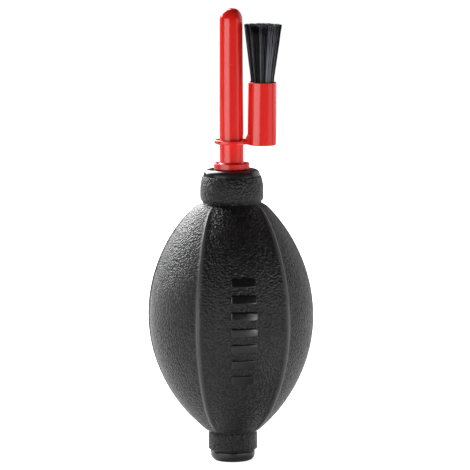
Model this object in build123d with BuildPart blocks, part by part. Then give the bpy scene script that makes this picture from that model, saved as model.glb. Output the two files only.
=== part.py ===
from build123d import *
from math import atan2, copysign, cos, hypot, sin
import os

os.makedirs("parts", exist_ok=True)

# A one-hand rubber dust blower, standing on its foot.  +Z runs up the long axis, the origin is the
# middle of the foot's rest face, and the cleaning brush is parked on the +X side of the nozzle.
# Every size is in millimetres.

# Fits
running_clearance = 0.05  # radial, between pieces that turn or slide on each other
bond_clearance = 0.03  # radial, between pieces that are pushed or glued together
seat_gap = 0.05  # between the resting valve disc and its seat
barb_margin = 0.4  # between a barb's rim and the bulb's wall
barb_height = 1.9
barb_land = 0.5  # straight part of a barb's rim
barb_taper = 0.4  # how much narrower a barb's nose is than its barrel

# Moulded edges
edge_round = 0.2

# Inlet valve and foot
foot_radius = 7.35
foot_height = 3.4
foot_edge = 2.2  # round of the foot's lower edge
foot_shoulder = 0.5  # round of the foot's upper edge
inlet_radius = 1.4
inlet_dish = 0.6  # cone at the mouth of the inlet
barrel_radius = 5.6  # of the valve barrel inside the collar
barrel_wall = 1.3
valve_floor = 1.8  # thickness of barrel floor above the foot
valve_seat_height = 0.4
valve_seat_width = 0.7
disc_gap = 0.65  # radial, between the disc and the chamber's ledge
disc_thickness = 0.8
disc_lift = 1.2  # travel from the seat to the cage
cage_thickness = 1.2
cage_ledge = 0.45  # step that the cage rests on
cage_vents = 6
cage_vent_radius = 0.6

# Rubber bulb
collar_wall = 2.55
collar_height = 6.5
collar_chamfer = 0.8
collar_crease = 0.25  # step out from the collar to the bulb
belly_radius = 27.6
lower_height = 38.3  # collar to belly
upper_height = 37.9  # belly to neck
bulb_wall = 2.2
end_share = 0.135  # how much of the bulb's taper comes late, near its ends
neck_wall = 3.1
neck_height = 8.8
neck_curl = 4.9  # height of the neck's curved top
neck_draw_in = 0.8  # how much narrower the neck is at its mouth
rib_angles = (-24, 41, 115, 188.5, 262)  # degrees from the front, towards +X
rib_height = 0.55
rib_root = 0.5  # depth that a rib is moulded into the wall
rib_half_widths = (1.0, 1.35, 0.5)  # at the collar, the belly and the neck

# Neck bush
bush_radius = 7.4  # of the barrel inside the neck
rim_height = 2.2
rim_setback = 0.3  # rim inside the neck's edge
rim_draft = 0.5  # how far the rim's side slopes in
rim_round = 1.6

# Nozzle
spigot_radius = 3.25
snap_bead = 0.4
snap_height = 1.0
snap_gap = 0.1  # between the bead and the bush
air_bore_radius = 1.6
outlet_radius = 0.9
flange_radius = 5.9
flange_height = 2.0
flange_gap = 0.1  # between the flange and the bush
tube_length = 51.0  # flange to tip
tube_base_radius = 3.96
tube_tip_radius = 3.73
tip_dome = 4.0
tip_flat = 0.95  # radius of the flat round the outlet
tube_root_fillet = 0.4

# Brush
ring_height = 6.3  # flange to parking ring
ring_width = 1.65
ring_thickness = 1.4
ring_round = 0.4
web_root = 0.5  # where the web starts, out from the ring's bore
web_width = 4.6
web_rise = 1.5  # how far the web climbs the cup
cup_gap = 1.2  # between the nozzle and the cup
cup_drop = 0.4  # how far the cup reaches below the ring
cup_base_radius = 4.75
cup_mouth_radius = 4.6
cup_wall = 0.8
cup_height = 20.8
cup_floor = 1.4
cup_edge = 0.35
plug_height = 4.0
tuft_length = 19.2  # outside the cup
tuft_radius = 6.15  # at the cut end
tuft_gap = 0.6  # between the cut end and the nozzle

# Heights, from the foot up
barrel_z = foot_height
collar_top_z = barrel_z + collar_height
belly_z = collar_top_z + lower_height
neck_z = belly_z + upper_height
mouth_z = neck_z + neck_height
rim_z = mouth_z + rim_height
flange_z = rim_z + flange_gap
tube_z = flange_z + flange_height
tip_z = tube_z + tube_length
ring_z = tube_z + ring_height

# Radii that follow from what fits inside
collar_radius = barrel_radius + collar_wall
neck_radius = bush_radius + neck_wall
mouth_radius = neck_radius - neck_draw_in
chamber_radius = barrel_radius - barrel_wall
disc_radius = chamber_radius - cage_ledge - disc_gap


def outline(*corners):
    """Closed line in the open BuildLine, through corners of (radius, height, corner round)."""
    places = [corner[:2] for corner in corners]
    FilletPolyline(*places, radius=[corner[2] for corner in corners], close=True)


def export_piece(piece, name):
    """Names a finished piece and writes its STEP file."""
    piece.part.label = name
    export_step(piece.part, f"parts/{name}.step")


def outline_point(way, depth):
    """Point on the bulb's meridian: way is -1 at the collar, 0 at the belly and 1 at the neck.

    The radius is the belly's, less a square and a fifth power of the way; depth sinks the point
    into the wall, square to the skin.
    """
    span = lower_height if way < 0 else upper_height
    x = abs(way)
    drop = belly_radius - (collar_radius + collar_crease if way < 0 else neck_radius)
    radius = belly_radius - drop * ((1 - end_share) * x**2 + end_share * x**5)
    slope = drop * (2 * (1 - end_share) * x + 5 * end_share * x**4) / span
    inward = depth / hypot(1, slope)
    return radius - inward, belly_z + way * span - copysign(inward * slope, way)


def meridian(depth_at, points=13):
    """Points along the bulb from collar to neck; depth_at gives the depth at each."""
    ways = [-1 + 2 * i / (points - 1) for i in range(points)]
    return [outline_point(way, depth_at(way)) for way in ways]


skin_line = meridian(lambda way: 0)
cavity_line = meridian(lambda way: bulb_wall)
shoulder_low_z = cavity_line[0][1]
shoulder_high_z = cavity_line[-1][1]

# One rib, a bead along the meridian on the +X side, wide at the belly and fading into both ends
rib_inner = meridian(lambda way: rib_root)
rib_outer = meridian(lambda way: -rib_height * (1 - way**4))
rib_low, rib_mid, rib_high = rib_half_widths
with BuildPart() as rib:
    with BuildSketch(Plane.XZ):
        with BuildLine():
            Spline(*rib_inner)
            Line(rib_inner[-1], rib_outer[-1])
            Spline(*rib_outer)
            Line(rib_outer[0], rib_inner[0])
        make_face()
    revolve(axis=Axis.Z)
    with BuildSketch(Plane.YZ):
        with BuildLine():
            Spline((rib_low, barrel_z), (rib_mid, belly_z), (rib_high, mouth_z))
            Line((rib_high, mouth_z), (-rib_high, mouth_z))
            Spline((-rib_high, mouth_z), (-rib_mid, belly_z), (-rib_low, barrel_z))
            Line((-rib_low, barrel_z), (rib_low, barrel_z))
        make_face()
    extrude(amount=2 * belly_radius, mode=Mode.INTERSECT)

# Bulb: turned skin with a neck and a collar, hollowed, then ribbed
with BuildPart() as bulb_body:
    with BuildSketch(Plane.XZ):
        with BuildLine():
            Polyline(
                (0, barrel_z),
                (collar_radius - collar_chamfer, barrel_z),
                (collar_radius, barrel_z + collar_chamfer),
                (collar_radius, collar_top_z),
                skin_line[0],
            )
            Spline(*skin_line)
            neck_side = Line(skin_line[-1], (neck_radius, mouth_z - neck_curl))
            TangentArc(neck_side @ 1, (mouth_radius, mouth_z), tangent=neck_side % 1)
            Polyline((mouth_radius, mouth_z), (0, mouth_z), (0, barrel_z))
        make_face()
    revolve(axis=Axis.Z)
    with Locations(*[Rotation(0, 0, angle - 90) for angle in rib_angles]):
        add(rib.part)
    with BuildSketch(Plane.XZ):
        with BuildLine():
            Spline(*cavity_line)
            Polyline(
                cavity_line[-1],
                (bush_radius, shoulder_high_z),
                (bush_radius, mouth_z),
                (0, mouth_z),
                (0, barrel_z),
                (barrel_radius, barrel_z),
                (barrel_radius, shoulder_low_z),
                cavity_line[0],
            )
        make_face()
    revolve(axis=Axis.Z, mode=Mode.SUBTRACT)
export_piece(bulb_body, "bulb_body")

# Neck bush: a rim over the neck's mouth, a barrel in the neck and a barb under its inner shoulder
bush_bottom_z = shoulder_high_z - barb_height
bush_bore = spigot_radius + running_clearance
rim_radius = mouth_radius - rim_setback
with BuildPart() as neck_bush:
    with BuildSketch(Plane.XZ):
        with BuildLine():
            outline(
                (bush_bore, bush_bottom_z, 0),
                (bush_radius - barb_taper, bush_bottom_z, edge_round),
                (cavity_line[-1][0] - barb_margin, shoulder_high_z - barb_land, edge_round),
                (cavity_line[-1][0] - barb_margin, shoulder_high_z, 0),
                (bush_radius - bond_clearance, shoulder_high_z, 0),
                (bush_radius - bond_clearance, mouth_z, 0),
                (rim_radius, mouth_z, edge_round),
                (rim_radius - rim_draft, rim_z, rim_round),
                (bush_bore, rim_z, edge_round),
            )
        make_face()
    revolve(axis=Axis.Z)
export_piece(neck_bush, "neck_bush")

# Nozzle: snap spigot, flange and tapered tube with a domed tip, all round one air passage
bead_z = bush_bottom_z - snap_gap
with BuildPart() as nozzle_tube:
    with BuildSketch(Plane.XZ):
        with BuildLine():
            outline(
                (0, bead_z - snap_height, 0),
                (spigot_radius - snap_bead, bead_z - snap_height, edge_round),
                (bush_bore + snap_bead, bead_z - snap_height / 2, edge_round),
                (bush_bore + snap_bead, bead_z, 0),
                (spigot_radius, bead_z, 0),
                (spigot_radius, flange_z, 0),
                (flange_radius, flange_z, edge_round),
                (flange_radius, tube_z, edge_round),
                (tube_base_radius, tube_z, tube_root_fillet),
                (tube_tip_radius, tip_z - tip_dome, 0),
                (0, tip_z - tip_dome, 0),
            )
        make_face()
        with BuildLine():
            Line((0, tip_z - tip_dome), (tube_tip_radius, tip_z - tip_dome))
            EllipticalCenterArc((tip_flat, tip_z - tip_dome), tube_tip_radius - tip_flat, tip_dome)
            Polyline((tip_flat, tip_z), (0, tip_z), (0, tip_z - tip_dome))
        make_face()
    revolve(axis=Axis.Z)
    with BuildSketch(Plane.XZ):
        with BuildLine():
            outline(
                (0, bead_z - snap_height, 0),
                (air_bore_radius, bead_z - snap_height, 0),
                (air_bore_radius, tip_z - tip_dome, 0),
                (outlet_radius, tip_z - tip_dome + air_bore_radius - outlet_radius, 0),
                (outlet_radius, tip_z, 0),
                (0, tip_z, 0),
            )
        make_face()
    revolve(axis=Axis.Z, mode=Mode.SUBTRACT)
export_piece(nozzle_tube, "nozzle_tube")

# The cup leans out just far enough for the flared tuft to clear the nozzle
tube_taper = (tube_base_radius - tube_tip_radius) / (tube_length - tip_dome)
ring_bore = tube_base_radius - tube_taper * ring_height + running_clearance
cup_z = ring_z - cup_drop
cup_x = ring_bore + cup_gap + cup_base_radius
tuft_tip_x = tube_tip_radius + tuft_gap + tuft_radius
lean = atan2(max(0, tuft_tip_x - cup_x), cup_height + tuft_length)
cup_plane = Plane((cup_x, 0, cup_z), x_dir=(cos(lean), 0, -sin(lean)), z_dir=(0, -1, 0))
cup_axis = Axis((cup_x, 0, cup_z), (sin(lean), 0, cos(lean)))
cup_bore = cup_mouth_radius - cup_wall

# Brush carrier: parking ring, web and bristle cup in one moulding
with BuildPart() as brush_carrier:
    with BuildSketch(Plane.XZ):
        with BuildLine():
            outline(
                (ring_bore, ring_z, 0),
                (ring_bore + ring_width, ring_z, ring_round),
                (ring_bore + ring_width, ring_z + ring_thickness, ring_round),
                (ring_bore, ring_z + ring_thickness, 0),
            )
        make_face()
    revolve(axis=Axis.Z)
    with BuildSketch(Plane.XZ):
        with BuildLine():
            outline(
                (ring_bore + web_root, ring_z, 0),
                (cup_x, cup_z, 0),
                (cup_x, ring_z + ring_thickness + web_rise, 0),
                (cup_x - cup_base_radius, ring_z + ring_thickness + web_rise, 0),
                (ring_bore + web_root, ring_z + ring_thickness, 0),
            )
        make_face()
    extrude(amount=web_width / 2, both=True)
    with BuildSketch(cup_plane):
        with BuildLine():
            outline(
                (0, 0, 0),
                (cup_base_radius, 0, cup_edge),
                (cup_mouth_radius, cup_height, edge_round),
                (0, cup_height, 0),
            )
        make_face()
    revolve(axis=cup_axis)
    with BuildSketch(cup_plane):
        with BuildLine():
            outline(
                (0, cup_floor, 0),
                (cup_bore, cup_floor, 0),
                (cup_bore, cup_height, 0),
                (0, cup_height, 0),
            )
        make_face()
    revolve(axis=cup_axis, mode=Mode.SUBTRACT)
export_piece(brush_carrier, "brush_carrier")

# Resin that holds the bristle roots in the bottom of the cup
with BuildPart() as bristle_plug:
    with BuildSketch(cup_plane):
        with BuildLine():
            outline(
                (0, cup_floor, 0),
                (cup_bore - bond_clearance, cup_floor, 0),
                (cup_bore - bond_clearance, cup_floor + plug_height, 0),
                (0, cup_floor + plug_height, 0),
            )
        make_face()
    revolve(axis=cup_axis)
export_piece(bristle_plug, "bristle_plug")

# Bristles: straight in the cup, flared above it and cut flat
with BuildPart() as bristle_tuft:
    with BuildSketch(cup_plane):
        with BuildLine():
            outline(
                (0, cup_floor + plug_height, 0),
                (cup_bore - bond_clearance, cup_floor + plug_height, 0),
                (cup_bore - bond_clearance, cup_height, 0),
                (tuft_radius, cup_height + tuft_length, edge_round),
                (0, cup_height + tuft_length, 0),
            )
        make_face()
    revolve(axis=cup_axis)
export_piece(bristle_tuft, "bristle_tuft")

# Inlet valve housing: flat foot, inlet with a raised seat, barrel and barb inside the collar
seat_z = foot_height + valve_floor + valve_seat_height
disc_z = seat_z + seat_gap
cage_z = disc_z + disc_thickness + disc_lift + seat_gap
housing_top_z = shoulder_low_z + barb_height
with BuildPart() as valve_housing:
    with BuildSketch(Plane.XZ):
        with BuildLine():
            outline(
                (inlet_radius, inlet_dish, 0),
                (inlet_radius + inlet_dish, 0, 0),
                (foot_radius, 0, foot_edge),
                (foot_radius, foot_height, foot_shoulder),
                (barrel_radius - bond_clearance, foot_height, 0),
                (barrel_radius - bond_clearance, shoulder_low_z, 0),
                (cavity_line[0][0] - barb_margin, shoulder_low_z, 0),
                (cavity_line[0][0] - barb_margin, shoulder_low_z + barb_land, edge_round),
                (barrel_radius - barb_taper, housing_top_z, edge_round),
                (chamber_radius, housing_top_z, 0),
                (chamber_radius, cage_z, 0),
                (chamber_radius - cage_ledge, cage_z, 0),
                (chamber_radius - cage_ledge, foot_height + valve_floor, 0),
                (inlet_radius + valve_seat_width, foot_height + valve_floor, 0),
                (inlet_radius + valve_seat_width, seat_z, 0),
                (inlet_radius, seat_z, 0),
            )
        make_face()
    revolve(axis=Axis.Z)
export_piece(valve_housing, "valve_housing")

# Loose silicone disc that closes the inlet when the bulb is pressed
with BuildPart() as valve_disc:
    with BuildSketch(Plane.XY.offset(disc_z)):
        Circle(disc_radius)
    extrude(amount=disc_thickness)
    fillet(valve_disc.edges(), edge_round)
export_piece(valve_disc, "valve_disc")

# Vented cage that keeps the disc over its seat
with BuildPart() as valve_cage:
    with BuildSketch(Plane.XY.offset(cage_z)):
        Circle(chamber_radius - bond_clearance)
        with PolarLocations(disc_radius, cage_vents):
            Circle(cage_vent_radius, mode=Mode.SUBTRACT)
    extrude(amount=cage_thickness)
export_piece(valve_cage, "valve_cage")
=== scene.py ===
from math import atan2, cos, pi, radians, sin

import bpy
import numpy as np
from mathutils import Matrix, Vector


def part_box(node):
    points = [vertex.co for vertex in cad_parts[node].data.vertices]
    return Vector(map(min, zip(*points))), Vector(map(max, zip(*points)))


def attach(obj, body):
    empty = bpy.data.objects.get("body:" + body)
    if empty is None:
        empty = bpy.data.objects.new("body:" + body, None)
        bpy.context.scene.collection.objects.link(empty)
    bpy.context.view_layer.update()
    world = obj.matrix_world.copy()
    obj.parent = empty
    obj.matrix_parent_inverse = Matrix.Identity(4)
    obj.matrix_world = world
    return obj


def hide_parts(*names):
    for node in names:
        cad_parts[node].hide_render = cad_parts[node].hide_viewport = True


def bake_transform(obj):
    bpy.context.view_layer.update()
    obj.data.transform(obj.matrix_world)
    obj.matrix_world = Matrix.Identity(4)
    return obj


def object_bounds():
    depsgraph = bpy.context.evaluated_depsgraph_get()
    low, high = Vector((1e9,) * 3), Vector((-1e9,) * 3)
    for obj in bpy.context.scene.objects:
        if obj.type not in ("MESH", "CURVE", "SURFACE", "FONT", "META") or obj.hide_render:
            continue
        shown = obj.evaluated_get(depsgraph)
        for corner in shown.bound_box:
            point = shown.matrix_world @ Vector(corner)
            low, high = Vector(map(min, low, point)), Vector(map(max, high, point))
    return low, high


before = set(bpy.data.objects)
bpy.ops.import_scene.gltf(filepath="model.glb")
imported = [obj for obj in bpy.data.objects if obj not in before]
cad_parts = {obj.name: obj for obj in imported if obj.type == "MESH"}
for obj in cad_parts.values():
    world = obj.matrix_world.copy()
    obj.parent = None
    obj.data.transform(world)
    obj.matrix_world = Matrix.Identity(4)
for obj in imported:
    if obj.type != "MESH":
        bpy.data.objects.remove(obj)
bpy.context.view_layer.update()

# A one-hand rubber dust blower with its cleaning brush parked on the nozzle, standing on its foot.
# Sizes are in millimetres unless a comment says otherwise; list_mesh turns them into metres.


# ---------------------------------------------------------------------------------------------
# Foot and valve housing.  A black moulding pushed into the bulb's collar; only its foot shows, a
# short glossy drum that the blower stands on, with the air inlet in its rest face.
# ---------------------------------------------------------------------------------------------

def shader_group(name, inputs, outputs):
    """Empty node group with those sockets; returns its tree and its two end nodes."""
    tree = bpy.data.node_groups.new(name, "ShaderNodeTree")
    for label, kind, default in inputs:
        socket = tree.interface.new_socket(label, in_out="INPUT", socket_type=kind)
        if default is not None:
            socket.default_value = default
    for label, kind in outputs:
        tree.interface.new_socket(label, in_out="OUTPUT", socket_type=kind)
    return tree, tree.nodes.new("NodeGroupInput"), tree.nodes.new("NodeGroupOutput")


def new_node(tree, kind, links=None, **settings):
    """Node of that kind; links fills its inputs with sockets or values, settings its properties."""
    node = tree.nodes.new(kind)
    for name, value in settings.items():
        setattr(node, name, value)
    for key, value in (links or {}).items():
        if isinstance(value, bpy.types.NodeSocket):
            tree.links.new(value, node.inputs[key])
        else:
            node.inputs[key].default_value = value
    return node


def build_mould_grain():
    """Skin of a moulded part.  Its height mixes coarse and fine noise by the fine share, and the
    result with one less the distance to the nearest scattered point by the pebble share.  Its
    mottle is a slower noise, for the tone."""
    tree, given, result = shader_group(
        "mould_grain",
        [("Vector", "NodeSocketVector", None), ("Grain Scale", "NodeSocketFloat", 1000.0),
         ("Fine Share", "NodeSocketFloat", 0.3), ("Pebble Share", "NodeSocketFloat", 0.0),
         ("Mottle Scale", "NodeSocketFloat", 120.0)],
        [("Height", "NodeSocketFloat"), ("Mottle", "NodeSocketFloat")])
    where = given.outputs["Vector"]
    coarse = new_node(tree, "ShaderNodeTexNoise", {
        "Vector": where, "Scale": given.outputs["Grain Scale"], "Detail": 2.0, "Roughness": 0.5})
    finer = new_node(tree, "ShaderNodeMath", {
        0: given.outputs["Grain Scale"], 1: 2.7}, operation="MULTIPLY")
    fine = new_node(tree, "ShaderNodeTexNoise", {
        "Vector": where, "Scale": finer.outputs[0], "Detail": 1.0, "Roughness": 0.4})
    height = new_node(tree, "ShaderNodeMix", {
        "Factor": given.outputs["Fine Share"], 2: coarse.outputs["Fac"], 3: fine.outputs["Fac"]})
    pebble = new_node(tree, "ShaderNodeTexVoronoi", {
        "Vector": where, "Scale": given.outputs["Grain Scale"], "Randomness": 1.0})
    raised = new_node(tree, "ShaderNodeMath", {
        0: 1.0, 1: pebble.outputs["Distance"]}, operation="SUBTRACT")
    skin = new_node(tree, "ShaderNodeMix", {
        "Factor": given.outputs["Pebble Share"], 2: height.outputs[0], 3: raised.outputs[0]})
    mottle = new_node(tree, "ShaderNodeTexNoise", {
        "Vector": where, "Scale": given.outputs["Mottle Scale"], "Detail": 3.0, "Roughness": 0.6})
    tree.links.new(skin.outputs[0], result.inputs["Height"])
    tree.links.new(mottle.outputs["Fac"], result.inputs["Mottle"])
    return tree


def build_handling_marks():
    """Short hairline scratches: stretched noise, kept only where a second noise is high."""
    tree, given, result = shader_group(
        "handling_marks",
        [("Vector", "NodeSocketVector", None), ("Amount", "NodeSocketFloat", 0.5)],
        [("Mask", "NodeSocketFloat")])
    where = given.outputs["Vector"]
    turned = new_node(tree, "ShaderNodeMapping", {
        "Vector": where, "Rotation": (0.3, 0.5, 0.9), "Scale": (60.0, 1500.0, 1500.0)})
    streak = new_node(tree, "ShaderNodeTexNoise", {
        "Vector": turned.outputs[0], "Scale": 1.0, "Detail": 1.0, "Roughness": 0.4})
    thin = new_node(tree, "ShaderNodeMapRange", {
        "Value": streak.outputs["Fac"], "From Min": 0.66, "From Max": 0.74})
    patch = new_node(tree, "ShaderNodeTexNoise", {
        "Vector": where, "Scale": 90.0, "Detail": 1.0, "Roughness": 0.5})
    kept = new_node(tree, "ShaderNodeMapRange", {
        "Value": patch.outputs["Fac"], "From Min": 0.5, "From Max": 0.62})
    both = new_node(tree, "ShaderNodeMath", {
        0: thin.outputs[0], 1: kept.outputs[0]}, operation="MULTIPLY")
    mask = new_node(tree, "ShaderNodeMath", {
        0: both.outputs[0], 1: given.outputs["Amount"]}, operation="MULTIPLY")
    tree.links.new(mask.outputs[0], result.inputs["Mask"])
    return tree


mould_grain = build_mould_grain()
handling_marks = build_handling_marks()


def start_material(name):
    """New node material; returns it with its tree, its Principled shader and Object coordinates."""
    material = bpy.data.materials.new(name)
    material.use_nodes = True
    tree = material.node_tree
    place = tree.nodes.new("ShaderNodeTexCoord").outputs["Object"]
    return material, tree, tree.nodes["Principled BSDF"], place


def use_group(tree, group, place, **values):
    """The shared group in this material, at Object coordinates, with the material's own values."""
    node = tree.nodes.new("ShaderNodeGroup")
    node.node_tree = group
    tree.links.new(place, node.inputs["Vector"])
    for name, value in values.items():
        node.inputs[name.replace("_", " ")].default_value = value
    return node


def mottled_material(name, dark, light, relief, depth, **grain):
    """Two close tones mixed by the mottle, under a grain of that relief and depth in metres;
    returns the material with its tree, shader, coordinates and skin."""
    material, tree, shader, place = start_material(name)
    skin = use_group(tree, mould_grain, place, **grain)
    tone = new_node(tree, "ShaderNodeMixRGB", {
        "Fac": skin.outputs["Mottle"], "Color1": (*dark, 1), "Color2": (*light, 1)})
    bump = new_node(tree, "ShaderNodeBump", {
        "Strength": relief, "Distance": depth, "Height": skin.outputs["Height"]})
    tree.links.new(tone.outputs[0], shader.inputs["Base Color"])
    tree.links.new(bump.outputs["Normal"], shader.inputs["Normal"])
    return material, tree, shader, place, skin


def moulded_plastic(name, dark, light, gloss, scuffed, peel):
    """Glossy injection moulding: its roughness swings a little about gloss with the mottle and
    rises to scuffed on scratches, and its orange peel is that deep in metres."""
    gloss_swing = 0.08
    material, tree, shader, place, skin = mottled_material(
        name, dark, light, relief=0.6, depth=peel,
        Grain_Scale=420.0, Fine_Share=0.15, Mottle_Scale=70.0)
    marks = use_group(tree, handling_marks, place, Amount=0.8)
    uneven = new_node(tree, "ShaderNodeMath", {
        0: skin.outputs["Mottle"], 1: gloss_swing, 2: gloss - gloss_swing / 2},
        operation="MULTIPLY_ADD")
    roughness = new_node(tree, "ShaderNodeMix", {
        "Factor": marks.outputs["Mask"], 2: uneven.outputs[0], 3: scuffed})
    tree.links.new(roughness.outputs[0], shader.inputs["Roughness"])
    shader.inputs["IOR"].default_value = 1.52
    return material


def paint_node(name, material):
    """Gives a CAD node its finish, in place of the plain one that it was packed with."""
    for material_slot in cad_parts[name].material_slots:
        material_slot.material = material


black_plastic = moulded_plastic("black_plastic", dark=(0.009, 0.009, 0.010),
                                light=(0.017, 0.017, 0.019), gloss=0.24, scuffed=0.42,
                                peel=0.00003)
paint_node("valve_housing", black_plastic)


# ---------------------------------------------------------------------------------------------
# Inlet valve.  A loose disc of translucent silicone over the inlet, held in by a vented black
# cage that is pressed onto a ledge of the housing.
# ---------------------------------------------------------------------------------------------

silicone, tree, shader, place, skin = mottled_material(
    "silicone", dark=(0.55, 0.55, 0.52), light=(0.7, 0.7, 0.67), relief=0.4, depth=0.00004,
    Grain_Scale=900.0, Fine_Share=0.4, Mottle_Scale=300.0)
shader.inputs["Roughness"].default_value = 0.45
shader.inputs["Subsurface Weight"].default_value = 0.3
shader.inputs["Subsurface Scale"].default_value = 0.001
paint_node("valve_disc", silicone)
paint_node("valve_cage", black_plastic)


# ---------------------------------------------------------------------------------------------
# Bulb.  One hollow moulding of soft black rubber: a collar that grips the valve housing, five
# flattened panels with a bead along each seam, and a thick neck round the bush.  Its skin has the
# dull grain of a spark-eroded mould.
# ---------------------------------------------------------------------------------------------

MILLIMETRE = 0.001

bulb_low, bulb_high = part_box("bulb_body")
collar_foot_z = bulb_low.z / MILLIMETRE
mouth_z = bulb_high.z / MILLIMETRE
collar_height, lower_height, upper_height, neck_height = 6.5, 38.3, 37.9, 8.8
collar_top_z = collar_foot_z + collar_height
belly_z = collar_top_z + lower_height
neck_foot_z = mouth_z - neck_height
bore_low_radius, collar_radius, collar_chamfer = 5.6, 8.15, 0.8
bore_high_radius, neck_radius, mouth_radius, neck_curl = 7.4, 10.5, 9.7, 4.9
belly_radius, wall = 27.6, 2.2
collar_ease = 0.25  # the bulb ends this far outside the collar
late_share = 0.135  # of the drop from the belly, the share that comes late, near the ends
profile_points, curl_points = 90, 12

crease_depth, crease_width = (0.35, 0.9), (0.4, 0.8)  # at the collar and at the neck
seam_angles = np.radians((-24.2, 41.5, 115.0, 188.5, 262.0))  # at the belly, from the front to +X
seam_count = len(seam_angles)
seam_flare = np.array((-1, 1, 0, 0, 0))  # the front panel widens towards both ends
flare_soon, flare_late = 2.5, 10  # degrees at either end, as a square and a fourth power
seam_crowding = 0.78  # 0 spaces the columns evenly, 1 draws them right up to the seams
panel_flatness = np.array((0.3, 0.14, 0.18, 0.18, 0.14))  # 0 is round, 1 is a flat chord
bead_height, bead_reach = 0.6, 0.68
flat_fade, bead_fade = 6, 12  # powers by which the flats and the beads die out at the ends


def surface_mesh(name, points, wrap_rows=False, poles=False):
    """Mesh of a grid of points in millimetres, whose columns close into rings.

    wrap_rows joins the last row to the first; poles merges each end row into one point.
    """
    rows, columns = points.shape[:2]
    here = np.arange(rows * columns).reshape(rows, columns)
    below, above = (here, np.roll(here, -1, 0)) if wrap_rows else (here[:-1], here[1:])
    quads = np.stack([below, np.roll(below, -1, 1), np.roll(above, -1, 1), above], -1)
    faces = (quads[1:-1] if poles else quads).reshape(-1, 4).tolist()
    if poles:
        first, last = int(here[0, 0]), int(here[-1, 0])
        ring_low, ring_high = here[1], here[-2]
        faces += [(first, int(b), int(a)) for a, b in zip(ring_low, np.roll(ring_low, -1))]
        faces += [(last, int(a), int(b)) for a, b in zip(ring_high, np.roll(ring_high, -1))]
    return list_mesh(name, points.reshape(-1, 3), faces)


def list_mesh(name, points, faces):
    """Smooth-shaded object from points in millimetres and faces, without unused points."""
    used, renumbered = np.unique(np.concatenate([np.ravel(f) for f in faces]), return_inverse=True)
    sizes = [len(face) for face in faces]
    starts = np.cumsum([0, *sizes[:-1]])
    mesh = bpy.data.meshes.new(name)
    mesh.vertices.add(len(used))
    mesh.vertices.foreach_set("co", (points[used] * MILLIMETRE).astype(np.float32).ravel())
    mesh.loops.add(len(renumbered))
    mesh.loops.foreach_set("vertex_index", renumbered.astype(np.int32))
    mesh.polygons.add(len(faces))
    mesh.polygons.foreach_set("loop_start", starts.astype(np.int32))
    mesh.polygons.foreach_set("use_smooth", np.ones(len(faces), bool))
    mesh.update(calc_edges=True)
    mesh.validate()
    piece = bpy.data.objects.new(name, mesh)
    bpy.context.scene.collection.objects.link(piece)
    return piece


def way_along(z):
    """-1 at the collar, 0 at the belly, 1 at the neck."""
    span = np.where(z < belly_z, lower_height, upper_height)
    return np.clip((z - belly_z) / span, -1, 1)


def bulb_radius(z):
    """The belly's radius less a square and a fifth power of the way to the collar or the neck."""
    way = np.abs(way_along(z))
    drop = belly_radius - np.where(z < belly_z, collar_radius + collar_ease, neck_radius)
    return belly_radius - drop * ((1 - late_share) * way**2 + late_share * way**5)


def softened_ring(corners, softness, rows, plain_step):
    """Closed line through (radius, height) corners: fine points along it are averaged over a bell,
    which rounds every corner, then taken again plain_step apart, closer where the line turns."""
    step = 0.03
    turn_per_row = radians(14)
    line = np.array([*corners, corners[0]])
    along = np.r_[0, np.cumsum(np.hypot(*np.diff(line, axis=0).T))]
    fine = np.arange(0, along[-1], step)
    points = np.stack([np.interp(fine, along, line[:, i]) for i in (0, 1)], 1)
    reach = np.arange(-3 * softness, 3 * softness + step, step)
    bell = np.exp(-(reach / softness) ** 2)
    bell /= bell.sum()
    pad = len(bell)
    wrapped = np.concatenate([points[-pad:], points, points[:pad]])
    smooth = np.stack([np.convolve(wrapped[:, i], bell, "same") for i in (0, 1)], 1)[pad:-pad]
    ahead = np.roll(smooth, -1, 0) - smooth
    heading = ahead[:, 0] + 1j * ahead[:, 1]
    turn = np.abs(np.angle(np.roll(heading, -1) / heading))
    crowd = np.cumsum(step / plain_step + turn / turn_per_row)
    pick = np.interp(np.arange(rows) / rows * crowd[-1], crowd, np.arange(len(crowd)))
    return np.stack([np.interp(pick, np.arange(len(crowd)), smooth[:, i]) for i in (0, 1)], 1)


def bulb_ring(rows):
    """Cut through the wall: up the outside from the collar to the mouth and down the cavity."""
    z = np.linspace(collar_top_z, neck_foot_z, profile_points)
    radius = bulb_radius(z)
    slope = np.gradient(radius, z)
    inner = np.stack([radius - wall / np.hypot(1, slope),
                      z + wall * slope / np.hypot(1, slope)], 1)[::-1]
    curl = np.linspace(0, 1, curl_points)[1:]
    curl_turn = 2 * atan2(neck_radius - mouth_radius, neck_curl)
    curl_radius = neck_curl / sin(curl_turn)
    top = [(neck_radius - curl_radius * (1 - cos(c * curl_turn)),
            mouth_z - neck_curl + curl_radius * sin(c * curl_turn)) for c in curl]
    return softened_ring([
        (bore_low_radius, collar_foot_z),
        (collar_radius - collar_chamfer, collar_foot_z),
        (collar_radius, collar_foot_z + collar_chamfer),
        (collar_radius, collar_top_z),
        *np.stack([radius, z], 1),
        (neck_radius, mouth_z - neck_curl),
        *top,
        (bore_high_radius, mouth_z),
        (bore_high_radius, inner[0][1]),
        *inner,
        (bore_low_radius, inner[-1][1]),
    ], softness=0.16, rows=rows, plain_step=0.62)


def seams_at(way):
    """Angle of every seam at each way: its belly angle, plus its flare, which is a square and a
    fourth power of the way."""
    flare = np.radians(flare_soon * way**2 + flare_late * way**4)
    return seam_angles + seam_flare * flare[:, None]


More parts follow.
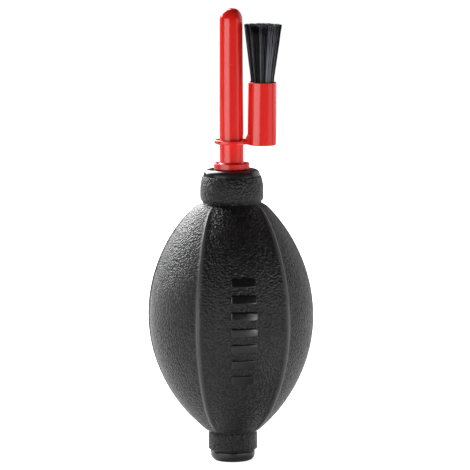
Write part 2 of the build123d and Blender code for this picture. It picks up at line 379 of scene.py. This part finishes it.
def bulb_surface(rows, columns):
    """Grid of the whole skin.

    Columns run along the seams, crowded beside them.  The radius is shrunk towards each panel's
    chord by its flatness, cut by a bell-shaped crease at both ends, and a bell-shaped bead stands
    square to the skin along each seam.
    """
    ring = bulb_ring(rows)
    radius, z = ring.T
    way = way_along(z)
    on_bulb = 1 - np.abs(way) ** flat_fade
    outside = radius > bulb_radius(z) - wall / 2
    ahead = np.roll(ring, -1, 0) - np.roll(ring, 1, 0)
    out = np.stack([ahead[:, 1], -ahead[:, 0]], 1) / np.hypot(*ahead.T)[:, None]
    seams = seams_at(way)
    seams_next = np.roll(seams, -1, 1) + np.where(np.arange(seam_count) == seam_count - 1, 2 * pi, 0)
    s = np.arange(columns) / columns
    across = s - seam_crowding * np.sin(2 * pi * s) / (2 * pi)
    width = (seams_next - seams)[:, :, None]
    angle = seams[:, :, None] + across * width
    half = width / 2
    chord = np.cos(half) / np.cos(angle - seams[:, :, None] - half)
    flat = panel_flatness[None, :, None] * on_bulb[:, None, None]
    bulged = radius[:, None, None] * (1 - flat * (1 - chord))
    for depth, reach, at in zip(crease_depth, crease_width, (collar_top_z, neck_foot_z)):
        cut = depth * np.exp(-(((z - at) / reach) ** 2)) * outside
        bulged = bulged - cut[:, None, None]
    from_seam = np.minimum(across, 1 - across) * width * bulged
    bead = bead_height * np.exp(-((from_seam / bead_reach) ** 2))
    bead = bead * (outside * (1 - np.abs(way) ** bead_fade))[:, None, None]
    r = (bulged + bead * out[:, 0, None, None]).reshape(rows, -1)
    height = (z[:, None, None] + bead * out[:, 1, None, None]).reshape(rows, -1)
    angle = angle.reshape(rows, -1)
    return np.stack([r * np.sin(angle), -r * np.cos(angle), height], -1), bead.reshape(rows, -1)


bulb_points, bulb_bead = bulb_surface(rows=330, columns=58)
bulb_skin = surface_mesh("bulb_skin", bulb_points, wrap_rows=True)
crest_mask = bulb_skin.data.attributes.new("crest", "FLOAT", "POINT")
crest_mask.data.foreach_set("value", (bulb_bead / bead_height).astype(np.float32).ravel())

rubber, tree, shader, place = start_material("bulb_rubber")
rubbed_height = 0.62  # the grain's height where the beads have been rubbed smooth
skin = use_group(tree, mould_grain, place, Grain_Scale=1380.0, Fine_Share=0.3, Pebble_Share=0.65)
crest = new_node(tree, "ShaderNodeAttribute", attribute_name="crest")
speck = new_node(tree, "ShaderNodeMapRange", {
    "Value": skin.outputs["Height"], "From Min": 0.52, "From Max": 0.72})
tone = new_node(tree, "ShaderNodeMixRGB", {
    "Fac": speck.outputs[0],
    "Color1": (0.0008, 0.0008, 0.001, 1), "Color2": (0.02, 0.02, 0.0217, 1)})
# The beads' crests get a much lighter base colour: a painted highlight along each bead.
painted_crest_highlight = new_node(tree, "ShaderNodeMixRGB", {
    "Fac": crest.outputs["Fac"], "Color1": tone.outputs[0], "Color2": (0.075, 0.075, 0.078, 1)})
smoothed = new_node(tree, "ShaderNodeMix", {
    "Factor": crest.outputs["Fac"], 2: skin.outputs["Height"], 3: rubbed_height})
roughness = new_node(tree, "ShaderNodeMapRange", {
    "Value": smoothed.outputs[0], "From Min": 0.4, "From Max": 0.75,
    "To Min": 0.48, "To Max": 0.24})
bump = new_node(tree, "ShaderNodeBump", {
    "Strength": 1.0, "Distance": 0.0005, "Height": smoothed.outputs[0]})
tree.links.new(painted_crest_highlight.outputs[0], shader.inputs["Base Color"])
tree.links.new(roughness.outputs[0], shader.inputs["Roughness"])
tree.links.new(bump.outputs["Normal"], shader.inputs["Normal"])
shader.inputs["IOR"].default_value = 1.42
shader.inputs["Sheen Weight"].default_value = 0.05
shader.inputs["Sheen Roughness"].default_value = 0.4
bulb_skin.data.materials.append(rubber)


def follow_squeeze(piece):
    """Bakes the piece's placement into its mesh."""
    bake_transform(piece)


follow_squeeze(bulb_skin)
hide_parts("bulb_body")


# ---------------------------------------------------------------------------------------------
# Grip bars.  Seven plain raised bars for the thumb, moulded in one with the front panel: rounded
# blocks of the same rubber with a polished face, sunk a little into the skin.
# ---------------------------------------------------------------------------------------------

bar_count, bar_pitch, bar_drop = 7, 5.4, 2  # their middle is bar_drop below the belly
bar_rows, bar_columns = 17, 64
bar_half_width, bar_half_height, bar_rise, bar_root = 4.6, 1.5, 0.6, 0.6
bar_squareness = 0.3  # power of the rounded block; 1 is an ellipsoid, 0 a sharp box


def signed_power(value, power):
    """Power of the size of a number, with the number's own sign."""
    return np.sign(value) * np.abs(value) ** power


def skin_point(angle, z):
    """Radius of the front panel's skin at an angle and height, without its beads."""
    way = way_along(z)
    seams = seams_at(way.ravel())[:, :2].reshape(*way.shape, 2)
    half = (seams[..., 1] - seams[..., 0]) / 2
    chord = np.cos(half) / np.cos(angle - seams[..., 0] - half)
    return bulb_radius(z) * (1 - panel_flatness[0] * (1 - np.abs(way) ** flat_fade) * (1 - chord))


def bar_surface(middle_z):
    """Rounded block: sines and cosines of two angles to a small power, wrapped onto the panel."""
    up = np.linspace(-pi / 2, pi / 2, bar_rows)[:, None]
    around = np.linspace(0, 2 * pi, bar_columns, endpoint=False)[None, :]
    ring = signed_power(np.cos(up), bar_squareness)
    sideways = bar_half_width * ring * signed_power(np.cos(around), bar_squareness)
    upright = bar_half_height * ring * signed_power(np.sin(around), bar_squareness)
    depth = signed_power(np.sin(up), bar_squareness) * np.ones_like(around)
    depth = np.where(depth > 0, depth * bar_rise, depth * bar_root)
    z = middle_z + upright
    angle = seam_angles[:2].mean() + sideways / belly_radius
    radius = skin_point(angle, z) + depth
    return np.stack([radius * np.sin(angle), -radius * np.cos(angle), z], -1)


polished, tree, shader, place, skin = mottled_material(
    "bulb_rubber_polished", dark=(0.003, 0.003, 0.0033), light=(0.006, 0.006, 0.0065),
    relief=0.5, depth=0.00004, Grain_Scale=500.0, Fine_Share=0.2, Mottle_Scale=160.0)
shader.inputs["Roughness"].default_value = 0.22

for number in range(bar_count):
    bar_z = belly_z - bar_drop + (number - (bar_count - 1) / 2) * bar_pitch
    bar = surface_mesh(f"grip_bar_{number + 1}", bar_surface(bar_z), poles=True)
    bar.data.materials.append(polished)
    follow_squeeze(bar)


# ---------------------------------------------------------------------------------------------
# Neck bush.  A hard glossy black ring pushed into the neck, whose rounded rim caps the rubber;
# the nozzle turns in its bore.
# ---------------------------------------------------------------------------------------------

paint_node("neck_bush", black_plastic)


# ---------------------------------------------------------------------------------------------
# Nozzle.  A tapered tube with a flange and a domed tip, moulded in glossy signal-red plastic and
# snapped into the bush.
# ---------------------------------------------------------------------------------------------

red_plastic = moulded_plastic("red_plastic", dark=(0.74, 0.012, 0.008),
                              light=(0.84, 0.018, 0.012), gloss=0.17, scuffed=0.34,
                              peel=0.000015)
paint_node("nozzle_tube", red_plastic)


# ---------------------------------------------------------------------------------------------
# Brush carrier.  Ring, web and cup in one moulding of the same red plastic; the ring parks the
# brush on the nozzle.
# ---------------------------------------------------------------------------------------------

paint_node("brush_carrier", red_plastic)


# ---------------------------------------------------------------------------------------------
# Bristles.  A round tuft of fine black hair, its roots set in dark resin in the cup's floor; it
# stands straight in the cup, flares above it and is cut flat.
# ---------------------------------------------------------------------------------------------

carrier_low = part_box("brush_carrier")[0]
cup_mouth_radius, cup_wall, cup_height, cup_floor = 4.6, 0.8, 20.8, 1.4
plug_height, tuft_length, tuft_radius = 4.0, 19.2, 6.15
cup_base_x, cup_base_z = 9.93, carrier_low.z / MILLIMETRE
cup_lean = radians(0.79)
packed_radius = cup_mouth_radius - cup_wall - 0.12  # of the tuft in the cup, just off its wall
root_sink, cut_margin, stray = 0.5, 0.1, 0.1  # into the resin, below the cut and past the flare
hair_count, hair_steps, hair_sides = 1500, 9, 4
hair_root_radius, hair_tip_radius = 0.085, 0.06
hair_twist = 0.4  # radians by which its four sides are turned
root_scatter, cut_scatter = 0.25, 0.14  # spread of the roots, in radians, and of the cut ends
lock_count, lock_pull = 130, 0.32  # hairs draw together into this many locks, this much at most
slow_wave, quick_wave, slow_bend, quick_bend = 0.2, 0.08, 4.2, 9  # reach, and radians along a hair
lock_streak_share, hair_streak_share = 0.45, 0.55  # shares of the lock and of the single hair in a hair's painted highlight streak tone

rng = np.random.default_rng(7)


def brush_place(x, y, up):
    """Point of the brush from its place across the cup and its height up the leaning cup."""
    return np.stack([cup_base_x + x * cos(cup_lean) + up * sin(cup_lean), y + 0 * x,
                     cup_base_z + up * cos(cup_lean) - x * sin(cup_lean)], -1)


def hair_spread(up):
    """How far the tuft has opened at a height: 1 in the cup, then in line up to the cut end."""
    opened = np.clip((up - cup_height) / tuft_length, 0, 1)
    return 1 + opened * ((tuft_radius + stray) / packed_radius - 1)


def hair_lines():
    """Centre line, height and tone of every hair: a root spread evenly over the cup by the golden
    angle, opened by hair_spread, drawn to its lock towards the end, and bent by two waves."""
    share = (np.arange(hair_count) + 0.5) / hair_count
    turn = np.arange(hair_count) * pi * (3 - 5**0.5) + rng.normal(0, root_scatter, hair_count)
    root = packed_radius * np.sqrt(share) * np.exp(1j * turn)
    lock_share = (np.arange(lock_count) + 0.5) / lock_count
    lock_turn = np.arange(lock_count) * pi * (3 - 5**0.5)
    locks = packed_radius * np.sqrt(lock_share) * np.exp(1j * lock_turn)
    nearest = np.abs(root[:, None] - locks[None, :]).argmin(1)
    lock = locks[nearest]
    foot = cup_floor + plug_height - root_sink
    tip = cup_height + tuft_length - cut_margin - np.abs(rng.normal(0, cut_scatter, hair_count))
    up = foot + np.linspace(0, 1, hair_steps)[None, :] * (tip - foot)[:, None]
    opened = np.clip((up - cup_height) / tuft_length, 0, 1)
    pull = lock_pull * opened**1.5 * rng.uniform(0.5, 1.0, hair_count)[:, None]
    flat = (root[:, None] * (1 - pull) + lock[:, None] * pull) * hair_spread(up)
    phase = rng.uniform(0, 2 * pi, (3, hair_count))[..., None]
    wave = (slow_wave * np.sin(slow_bend * opened + phase[0])
            + quick_wave * np.sin(quick_bend * opened + phase[1]))
    flat = flat + opened * wave * np.exp(1j * phase[2])
    reach = np.abs(flat)
    limit = hair_spread(up) * packed_radius
    flat = flat * np.minimum(1, limit / np.maximum(reach, 1e-9))
    # Some locks and hairs get a light grey-blue tone at random: painted highlight streaks in the
    # tuft.
    lock_streak = rng.uniform(0, 1, lock_count)[nearest]
    return flat, up, lock_streak_share * lock_streak + hair_streak_share * rng.uniform(0, 1, hair_count)


def hair_mesh(name):
    """Every hair is a thin four-sided tube along its line, closed at both ends."""
    flat, up, tone = hair_lines()
    girth = np.linspace(hair_root_radius, hair_tip_radius, hair_steps)[None, :, None]
    corner = np.exp(1j * (np.arange(hair_sides) / hair_sides * 2 * pi + hair_twist))[None, None, :]
    ring = flat[:, :, None] + girth * corner
    points = brush_place(ring.real, ring.imag, up[:, :, None] + 0 * ring.real)
    index = np.arange(ring.size).reshape(ring.shape)
    low, high = index[:, :-1], index[:, 1:]
    sides = np.stack([low, np.roll(low, -1, 2), np.roll(high, -1, 2), high], -1)
    faces = np.concatenate([sides.reshape(-1, 4), index[:, 0, ::-1], index[:, -1]])
    piece = list_mesh(name, points.reshape(-1, 3), faces)
    shade = np.repeat(tone, hair_steps * hair_sides)
    piece.data.attributes.new("hair", "FLOAT", "POINT").data.foreach_set(
        "value", shade.astype(np.float32))
    return piece


def core_surface():
    """Dark middle of the tuft: a turned body just inside the outer hairs, closed at both ends.
    Each of its heights has its share of the tuft's radius there."""
    core_foot, core_top = cup_floor + plug_height, cup_height + tuft_length - 0.8
    up = np.array([core_foot, core_foot, 12.0, cup_height, 28.0, 34.0, core_top - 0.4, core_top])
    share = np.array([0, 0.9, 0.9, 0.84, 0.84, 0.84, 0.8, 0])
    around = np.linspace(0, 2 * pi, 48, endpoint=False)
    radius = (share * packed_radius * hair_spread(up))[:, None]
    return brush_place(radius * np.cos(around), radius * np.sin(around), up[:, None] + 0 * around)


bristles = hair_mesh("bristles")
core = surface_mesh("bristle_core", core_surface(), poles=True)

hair, tree, shader, place = start_material("bristle_hair")
strand = new_node(tree, "ShaderNodeAttribute", attribute_name="hair")
skin = use_group(tree, mould_grain, place, Mottle_Scale=260.0)
# The ramp lifts the chosen hairs to light grey-blue: painted highlight streaks on black hair.
tone = new_node(tree, "ShaderNodeValToRGB", {"Fac": strand.outputs["Fac"]})
tone.color_ramp.elements[0].color = (0.002, 0.002, 0.0025, 1)
tone.color_ramp.elements[1].color = (0.3, 0.31, 0.37, 1)
tone.color_ramp.elements[0].position = 0.66
tone.color_ramp.elements[1].position = 0.9
roughness = new_node(tree, "ShaderNodeMath", {
    0: skin.outputs["Mottle"], 1: 0.25, 2: 0.26}, operation="MULTIPLY_ADD")
tree.links.new(tone.outputs[0], shader.inputs["Base Color"])
tree.links.new(roughness.outputs[0], shader.inputs["Roughness"])
shader.inputs["IOR"].default_value = 1.3
for piece in (bristles, core):
    piece.data.materials.append(hair)
    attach(piece, "brush")
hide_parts("bristle_tuft")

resin, tree, shader, place, skin = mottled_material(
    "resin", dark=(0.02, 0.014, 0.008), light=(0.05, 0.035, 0.02), relief=0.5, depth=0.0001,
    Grain_Scale=500.0, Fine_Share=0.3, Mottle_Scale=220.0)
shader.inputs["Roughness"].default_value = 0.2
paint_node("bristle_plug", resin)


# ---------------------------------------------------------------------------------------------
# Studio.  A pale table that runs out of sight, a soft light low at the front left, the strongest
# high behind it, weaker ones on the right, and a white room that is seen but hardly lights.  Sizes
# are in metres.
# ---------------------------------------------------------------------------------------------

middle = Vector((0, 0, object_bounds()[1][2] / 2))

floor_reach = 6.0
floor_mesh = bpy.data.meshes.new("floor")
floor_mesh.from_pydata([(-floor_reach, -floor_reach, 0), (floor_reach, -floor_reach, 0),
                        (floor_reach, floor_reach, 0), (-floor_reach, floor_reach, 0)], [],
                       [(0, 1, 2, 3)])
floor = bpy.data.objects.new("floor", floor_mesh)
bpy.context.scene.collection.objects.link(floor)
pale, tree, shader, _ = start_material("pale_table")
shader.inputs["Base Color"].default_value = (0.9, 0.9, 0.9, 1)
shader.inputs["Roughness"].default_value = 0.9
shader.inputs["Emission Color"].default_value = (1, 1, 1, 1)
seen = tree.nodes.new("ShaderNodeLightPath")
glow = new_node(tree, "ShaderNodeMapRange", {
    "Value": seen.outputs["Is Camera Ray"], "To Min": 0.1, "To Max": 1.0})
tree.links.new(glow.outputs[0], shader.inputs["Emission Strength"])
floor_mesh.materials.append(pale)


def softbox(name, azimuth, elevation, distance, width, height, strength):
    """Rectangular area light aimed at the object, of that many watts per square metre; azimuth 0
    is the front and 90 is +X."""
    data = bpy.data.lights.new(name, "AREA")
    data.shape, data.size, data.size_y = "RECTANGLE", width, height
    data.energy = strength * width * height
    light = bpy.data.objects.new(name, data)
    bpy.context.scene.collection.objects.link(light)
    a, e = radians(azimuth), radians(elevation)
    light.location = middle + distance * Vector((sin(a) * cos(e), -cos(a) * cos(e), sin(e)))
    light.rotation_euler = (middle - light.location).to_track_quat("-Z", "Y").to_euler()


softbox("key_left", azimuth=-46, elevation=4, distance=0.72, width=0.72, height=0.3, strength=11)
softbox("back_left", azimuth=-147, elevation=34, distance=0.75, width=0.65, height=0.6, strength=35)
softbox("fill_right", azimuth=70, elevation=4, distance=0.9, width=0.6, height=0.3, strength=3)
softbox("low_right", azimuth=48, elevation=-12, distance=0.22, width=0.2, height=0.05, strength=18)
softbox("back_right", azimuth=130, elevation=15, distance=0.75, width=0.8, height=0.5, strength=3)

world = bpy.data.worlds.new("white_room")
bpy.context.scene.world = world
world.use_nodes = True
tree = world.node_tree
tree.nodes.clear()
seen = new_node(tree, "ShaderNodeBackground", {"Color": (1, 1, 1, 1), "Strength": 1.0})
lit = new_node(tree, "ShaderNodeBackground", {"Color": (1, 1, 1, 1), "Strength": 0.03})
ray = tree.nodes.new("ShaderNodeLightPath")
both = new_node(tree, "ShaderNodeMixShader", {
    0: ray.outputs["Is Camera Ray"], 1: lit.outputs[0], 2: seen.outputs[0]})
new_node(tree, "ShaderNodeOutputWorld", {"Surface": both.outputs[0]})
bpy.context.scene.view_settings.view_transform = "Standard"

camera_distance, camera_elevation, camera_roll = 1.6, radians(7.2), radians(-0.24)
aim = Vector((0.00099, 0, 0.0752))
camera_data = bpy.data.cameras.new("camera")
camera_data.sensor_width, camera_data.lens = 36.0, 371.0
camera_data.clip_end = 20.0
camera = bpy.data.objects.new("camera", camera_data)
bpy.context.scene.collection.objects.link(camera)
camera.location = aim + camera_distance * Vector((0, -cos(camera_elevation),
                                                  sin(camera_elevation)))
camera.rotation_euler = (aim - camera.location).to_track_quat("-Z", "Y").to_euler()
camera.rotation_euler.rotate_axis("Z", camera_roll)
bpy.context.scene.camera = camera
